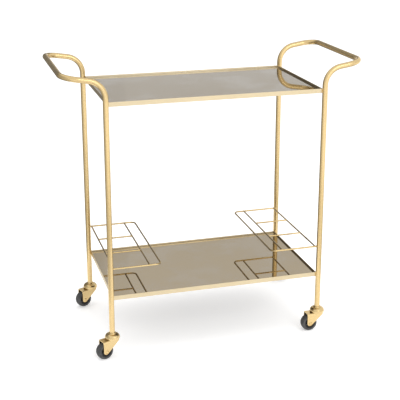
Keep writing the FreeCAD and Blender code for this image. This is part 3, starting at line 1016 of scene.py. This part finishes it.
@dataclass
class Caster:
    """One swivel caster, with its pressed and turned details."""

    corner: str
    finishes: Finishes
    cheek_face: float = 14.0 * MM
    rivet_seat: float = 15.55 * MM
    web_face: float = 3.3 * MM
    rib_count: int = 5
    axle: Vector = field(init=False)
    across: Vector = field(init=False)
    fork_body: str = field(init=False)
    wheel_body: str = field(init=False)

    def __post_init__(self) -> None:
        """Name the caster's bodies and find its axle, from the joint of the rolling wheel."""
        self.fork_body = f"{self.corner}_fork_body"
        self.wheel_body = f"{self.corner}_wheel_body"
        joints = {joint["name"]: joint for joint in frame["record"]["behaviour"]["joints"]}
        roll = joints[f"{self.corner}_wheel_roll"]
        self.axle = Vector(roll["pos_m"])
        self.across = Vector(roll["axis"]).normalized()

    def build(self) -> None:
        """Dress the caster's pieces and add what is pressed, turned and moulded on them."""
        for part in ("dome", "fork", "axle", "stem"):
            dress(f"{self.corner}_caster_{part}", self.finishes.pressed)
        for part in ("race", "balls"):
            dress(f"{self.corner}_caster_{part}", self.finishes.steel)
        dress(f"{self.corner}_caster_hub", self.finishes.hub)
        dress(f"{self.corner}_caster_tyre", self.finishes.tyre)
        self.neck_ring()
        self.cheek_bosses()
        self.rivet_heads()
        self.hub_ribs()

    def neck_ring(self) -> None:
        """Turn the rounded ring that closes the gap between the cap and the foot of the leg."""
        stem = middle(f"{self.corner}_caster_stem")
        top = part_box(f"{self.corner}_caster_dome")[1][2]
        ring = PieceMesh(f"{self.corner}_caster_neck_ring")
        profile = [(8.4, -0.2), (11.2, -0.2), (11.9, 0.2), (12.1, 0.8), (11.8, 1.4), (11.0, 1.8), (10.4, 2.2),
                   (10.1, 2.8), (9.9, 3.4), (9.4, 3.8), (8.8, 3.9), (8.4, 3.7), (8.4, -0.2)]
        ring.turned([(r * MM, h * MM) for r, h in profile], Vector((stem.x, stem.y, top)), UP)
        ring.finish(BODY, "caster_brass", self.finishes.pressed)

    def cheek_bosses(self) -> None:
        """Emboss a low ring round the axle on both cheeks."""
        bosses = PieceMesh(f"{self.corner}_caster_cheek_bosses")
        profile = [(5.1, 0.0), (5.2, 0.35), (5.6, 0.55), (6.0, 0.55), (6.5, 0.35), (6.8, 0.0), (6.8, -0.3),
                   (5.1, -0.3), (5.1, 0.0)]
        for way in (-1, 1):
            axis = self.across * way
            bosses.turned([(r * MM, h * MM) for r, h in profile], self.axle + axis * self.cheek_face, axis)
        bosses.finish(self.fork_body, "caster_brass", self.finishes.pressed)

    def rivet_heads(self) -> None:
        """Peen a low dome on each end of the axle."""
        heads = PieceMesh(f"{self.corner}_caster_rivet_heads")
        profile = [(3.35, 0.0), (3.3, 0.15), (3.0, 0.4), (2.4, 0.62), (1.6, 0.74), (0.9, 0.62), (0.0, 0.55)]
        for way in (-1, 1):
            axis = self.across * way
            heads.turned([(r * MM, h * MM) for r, h in profile], self.axle + axis * self.rivet_seat, axis,
                         steps=32)
        heads.finish(self.fork_body, "caster_brass", self.finishes.pressed)

    def hub_ribs(self) -> None:
        """Mould the stiffening ribs on each side of the wheel's web."""
        ribs = PieceMesh(f"{self.corner}_caster_hub_ribs")
        ahead = self.across.cross(UP)
        for way in (-1, 1):
            for k in range(self.rib_count):
                turn = 2 * math.pi * (k + 0.5) / self.rib_count
                self.rib(ribs, UP * math.cos(turn) + ahead * math.sin(turn), way)
        ribs.finish(self.wheel_body, "hub", self.finishes.hub)

    def rib(self, ribs: PieceMesh, out: Vector, way: int) -> None:
        """Add one rib, wider at its foot than at its crest and lower in its middle.

        Args:
            ribs: the mesh to add it to.
            out: direction from the axle along the rib.
            way: -1 or 1, the side of the web.
        """
        side = self.across.cross(out)
        low = self.web_face * way
        sections = []
        for reach, half_foot, crest in ((6.2, 1.1, 8.2), (9.5, 0.9, 7.4), (14.3, 1.0, 7.9)):
            base = self.axle + out * (reach * MM)
            high = crest * MM * way
            wide, thin = half_foot * MM, 0.6 * half_foot * MM
            sections.append(ribs.loop([base + side * wide + self.across * low,
                                       base + side * thin + self.across * high,
                                       base - side * thin + self.across * high,
                                       base - side * wide + self.across * low]))
        for first, second in zip(sections, sections[1:]):
            ribs.bridge(first, second)
        ribs.cap(list(reversed(sections[0])))
        ribs.cap(sections[-1])


# ---------------------------------------------------------------- studio
@dataclass(frozen=True)
class ShadeFinish:
    """Grey cloth round the studio, whose glow changes by degrees from the rear round by the left."""

    name: str
    stops: tuple[tuple[float, float], ...] = (
        (3, 0.9), (8, 0.22), (50, 0.22), (75, 0.48), (123, 0.76), (170, 0.88), (211, 1.12), (259, 0.72),
        (300, 0.95))
    open_glow: float = 1.0
    fade: tuple[float, float] = (1.55, 2.55)

    def material(self) -> bpy.types.Material:
        """Build the material.

        Returns:
            The new material.
        """
        board = NodeBoard(self.name)
        parts = board.add("ShaderNodeSeparateXYZ")
        board.join(board.place(), parts.inputs["Vector"])
        turn = board.add("ShaderNodeMath", operation="ARCTAN2")
        board.join(parts.outputs["X"], turn.inputs[0])
        board.join(board.combine("MULTIPLY", parts.outputs["Y"], -1.0), turn.inputs[1])
        share = board.combine("DIVIDE", board.combine("ADD", turn.outputs["Value"], math.pi), 2 * math.pi)
        ramp = board.add("ShaderNodeValToRGB")
        ramp.color_ramp.interpolation = "EASE"
        board.join(share, ramp.inputs["Fac"])
        elements = ramp.color_ramp.elements
        for place, glow in self.stops[1:]:
            elements.new(place / 360).color = (glow, glow, glow, 1.0)
        for element, (_, glow) in ((elements[0], self.stops[0]), (elements[-1], self.stops[-1])):
            element.color = (glow, glow, glow, 1.0)
        board.set(Base_Color=(0.0, 0.0, 0.0, 1.0), Specular_IOR_Level=0.0,
                  Emission_Color=(1.0, 1.0, 1.0, 1.0))
        risen = board.ranged(parts.outputs["Z"], 0.0, 1.0, *self.fade)
        risen.node.interpolation_type = "SMOOTHSTEP"
        missing = board.combine("SUBTRACT", ramp.outputs["Color"], self.open_glow)
        lost = board.combine("SUBTRACT", missing, board.combine("MULTIPLY", missing, risen))
        board.join(board.combine("ADD", lost, self.open_glow), board.shader.inputs["Emission Strength"])
        return board.material


@dataclass
class Studio:
    """Floor, soft light and camera."""

    standpoint: tuple[float, float, float] = (-0.7866, -2.702, 1.3623)
    heading_deg: float = 16.21
    tilt_deg: float = 16.64
    lens_mm: float = 86.27
    shift_y: float = -0.10
    shade_reach: tuple[float, float] = (0.75, 1.7)
    shade_height: float = 2.6
    shade_turn_deg: tuple[float, float] = (-4.0, 300.0)
    shade_step_deg: float = 4.0
    header_turn_deg: tuple[float, float] = (-44.0, 12.0)
    header_foot: float = 1.22
    header_glow: float = 0.22
    skirt_turn_deg: tuple[float, float] = (-44.0, 6.0)
    skirt_top: float = 0.72
    skirt_glow: float = 0.25
    panel_turn_deg: tuple[float, float] = (155.0, 239.0)
    panel_rise: tuple[float, float] = (0.5, 1.7)
    panel_glow: float = 2.0
    panel_heart: float = 0.6
    fall_from_deg: float = 95.0
    fall_over_deg: float = 50.0
    world_strength: float = 1.0

    def build(self) -> None:
        """Set up the whole studio."""
        self.floor()
        self.shade()
        header = GlowFinish("studio_header", self.header_glow, fade=(1.6, self.shade_height)).material()
        self.curtain("studio_header", self.header_turn_deg, (self.header_foot, self.shade_height), header)
        skirt = GlowFinish("studio_skirt", self.skirt_glow, fade=(0.2, self.skirt_top)).material()
        self.curtain("studio_skirt", self.skirt_turn_deg, (0.0, self.skirt_top), skirt, apron=True)
        turn, reach = math.radians(sum(self.panel_turn_deg) / 2), self.shade_reach[1]
        heart = (-reach * math.sin(turn), reach * math.cos(turn), sum(self.panel_rise) / 2)
        panel = GlowFinish("studio_panel", self.panel_glow, fade=(0.0, self.panel_heart),
                           heart=heart).material()
        self.curtain("studio_panel", self.panel_turn_deg, self.panel_rise, panel)
        self.world()
        self.lights()
        self.camera()

    def staged(self, name: str, corners: list[tuple[float, float, float]], faces: list[tuple[int, ...]],
               finish: bpy.types.Material) -> bpy.types.Object:
        """Make a studio piece that isn't part of the cart.

        Args:
            name: the piece's name.
            corners: vertices.
            faces: faces, as vertex numbers.
            finish: its material.

        Returns:
            The new object.
        """
        mesh = bpy.data.meshes.new(name)
        mesh.from_pydata(corners, [], faces)
        mesh.materials.append(finish)
        piece = bpy.data.objects.new(name, mesh)
        bpy.context.scene.collection.objects.link(piece)
        log.info("set up %s", name)
        return piece

    def floor(self) -> None:
        """Lay a wide pale floor under the wheels."""
        reach = 40.0
        corners = [(-reach, -reach, 0), (reach, -reach, 0), (reach, reach, 0), (-reach, reach, 0)]
        self.staged("studio_floor", corners, [(0, 1, 2, 3)], FloorFinish("studio_floor").material())

    def shade(self) -> None:
        """Lay and hang grey cloth round the cart, which shows only in the reflections.

        It lies on the floor in front and stands high at the left and behind it.
        """
        first, last = self.shade_turn_deg
        steps = round((last - first) / self.shade_step_deg)
        near, far = self.shade_reach
        corners = []
        for step in range(steps + 1):
            degrees = first + (last - first) * step / steps
            turn = math.radians(degrees)
            across, along = -math.sin(turn), math.cos(turn)
            fall = min(max((degrees - self.fall_from_deg) / self.fall_over_deg, 0.0), 1.0)
            height = self.shade_height * (1.0 - fall * fall * (3.0 - 2.0 * fall)) + 0.02
            corners += [(near * across, near * along, 0.004), (far * across, far * along, 0.004),
                        (far * across, far * along, height)]
        faces = []
        for step in range(steps):
            low = 3 * step
            faces += [(low, low + 1, low + 4, low + 3), (low + 1, low + 2, low + 5, low + 4)]
        cloth = self.staged("studio_shade", corners, faces, ShadeFinish("studio_shade").material())
        self.show_only_in_reflections(cloth)

    def curtain(self, name: str, turn_deg: tuple[float, float], rise: tuple[float, float],
                glow: bpy.types.Material, apron: bool = False) -> None:
        """Hang a curved strip just inside the cloth's far edge, which shows only in the reflections.

        Args:
            name: the strip's name.
            turn_deg: where it starts and ends, in degrees from the rear by the left.
            rise: heights of its lower and upper edge.
            glow: its material.
            apron: whether it also lies on the floor, towards the cart.
        """
        near, reach = self.shade_reach[0], self.shade_reach[1] - 0.02
        corners = []
        steps = 12
        for step in range(steps + 1):
            turn = math.radians(turn_deg[0] + (turn_deg[1] - turn_deg[0]) * step / steps)
            row = [(reach, height) for height in rise]
            if apron:
                row.insert(0, (near, 0.006))
            corners += [(-out * math.sin(turn), out * math.cos(turn), height) for out, height in row]
        rows = 3 if apron else 2
        faces = [(rows * k + n, rows * (k + 1) + n, rows * (k + 1) + n + 1, rows * k + n + 1)
                 for k in range(steps) for n in range(rows - 1)]
        self.show_only_in_reflections(self.staged(name, corners, faces, glow))

    def show_only_in_reflections(self, piece: bpy.types.Object) -> None:
        """Let only glossy surfaces see a studio piece.

        Args:
            piece: the piece.
        """
        piece.visible_camera = False
        piece.visible_diffuse = False
        piece.visible_transmission = False
        piece.visible_shadow = False

    def world(self) -> None:
        """Light the scene evenly from all round."""
        world = bpy.data.worlds.new("studio_world")
        world.use_nodes = True
        background = world.node_tree.nodes["Background"]
        background.inputs["Color"].default_value = (1.0, 1.0, 1.0, 1.0)
        background.inputs["Strength"].default_value = self.world_strength
        bpy.context.scene.world = world
        log.info("set the world light")

    def lights(self) -> None:
        """Hang the soft boxes."""
        self.soft_box("key_box", (0.85, -2.6, 1.9), 1.6, 25.0)
        self.soft_box("top_box", (0.3, 0.2, 3.0), 2.4, 16.0, reflected=False)

    def soft_box(self, name: str, place: tuple[float, float, float], size: float, power: float,
                 reflected: bool = True) -> None:
        """Hang one square soft box that faces the cart.

        Args:
            name: the light's name.
            place: where it hangs.
            size: side of the box, in metres.
            power: watts.
            reflected: whether glossy surfaces show it.
        """
        light = bpy.data.lights.new(name, "AREA")
        light.size = size
        light.energy = power
        lamp = bpy.data.objects.new(name, light)
        lamp.location = place
        lamp.visible_glossy = reflected
        aim = Vector((0, 0, 0.6)) - Vector(place)
        lamp.rotation_euler = aim.to_track_quat("-Z", "Y").to_euler()
        bpy.context.scene.collection.objects.link(lamp)
        log.info("hung %s", name)

    def camera(self) -> None:
        """Stand the camera in front of the cart and a little to its left."""
        data = bpy.data.cameras.new("studio_camera")
        data.lens = self.lens_mm
        data.shift_y = self.shift_y
        camera = bpy.data.objects.new("studio_camera", data)
        camera.location = self.standpoint
        camera.rotation_euler = (math.radians(90 - self.tilt_deg), 0, math.radians(-self.heading_deg))
        bpy.context.scene.collection.objects.link(camera)
        bpy.context.scene.camera = camera
        log.info("placed the camera")


def main() -> None:
    """Build the cart's looks in order."""
    logging.basicConfig(level=logging.INFO, format="%(name)s: %(message)s")
    bpy.context.scene.view_settings.view_transform = "Standard"
    finishes = Finishes()
    frames = EndFrames(finishes)
    frames.build()
    for name in ("lower_tray", "upper_tray"):
        Tray(name, frames, finishes).build()
    for side in SIDES:
        BottleRack(side, frames, finishes).build()
    for corner in CORNERS:
        Caster(corner, finishes).build()
    Studio().build()


if __name__ == "__main__":
    main()
